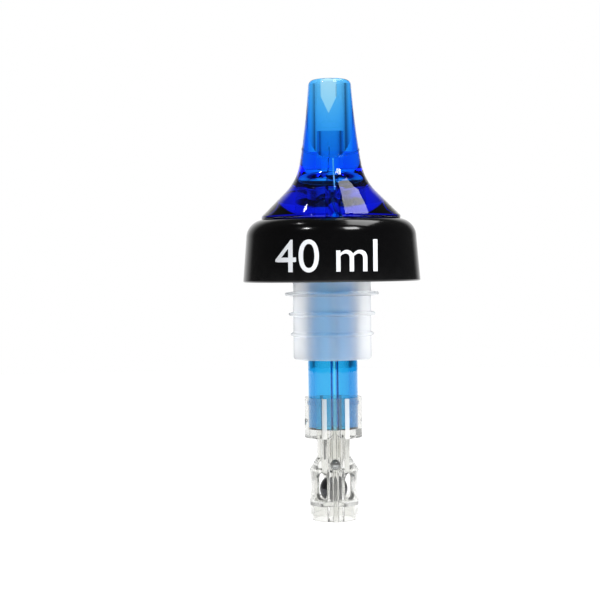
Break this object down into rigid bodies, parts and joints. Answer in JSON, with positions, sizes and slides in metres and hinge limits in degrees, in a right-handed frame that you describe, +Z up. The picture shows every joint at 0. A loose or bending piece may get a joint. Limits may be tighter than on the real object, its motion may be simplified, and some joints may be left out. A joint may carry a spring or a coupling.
{
  "type": "measured liquor pourer",
  "caption": "Measured liquor pourer with a transparent blue spout notched at its tip, black collar, finned milky stopper, metering tube and clear ball cage with steel balls.",
  "frame": {"origin": "centre of the bottle's mouth, on the underside of the stopper's flange that rests on it", "axes": "+Z up the pourer's axis to the spout's tip, -Y the front (the side of the breather), +X to the right of someone facing the front"},
  "size_m": [0.04, 0.04, 0.0993],
  "materials": {
    "blue_plastic": "transparent, polished",
    "black_plastic": "gloss",
    "milky_plastic": "translucent, soft",
    "blue_tube_plastic": "transparent, polished",
    "clear_plastic": "transparent, clear",
    "polished_steel": "polished"
  },
  "bodies": {
    "pourer": {"spout": "blue_plastic", "collar": "black_plastic", "stopper": "milky_plastic", "metering_tube": "blue_tube_plastic", "ball_cage": "clear_plastic"},
    "timing_ball": {"timing_ball": "polished_steel"},
    "lower_breather_ball": {"lower_breather_ball": "polished_steel"},
    "upper_breather_ball": {"upper_breather_ball": "polished_steel"}
  },
  "joints": [
    {"name": "timing_ball_run", "type": "slide", "parent": "pourer", "child": "timing_ball", "axis": [0, 0, 1], "range_m": [0, 0.06891]},
    {"name": "lower_breather_run", "type": "slide", "parent": "pourer", "child": "lower_breather_ball", "axis": [0, 0, 1], "range_m": [0, 0.00704]},
    {"name": "upper_breather_run", "type": "slide", "parent": "pourer", "child": "upper_breather_ball", "axis": [0, 0, 1], "range_m": [0, 0.00742]}
  ]
}
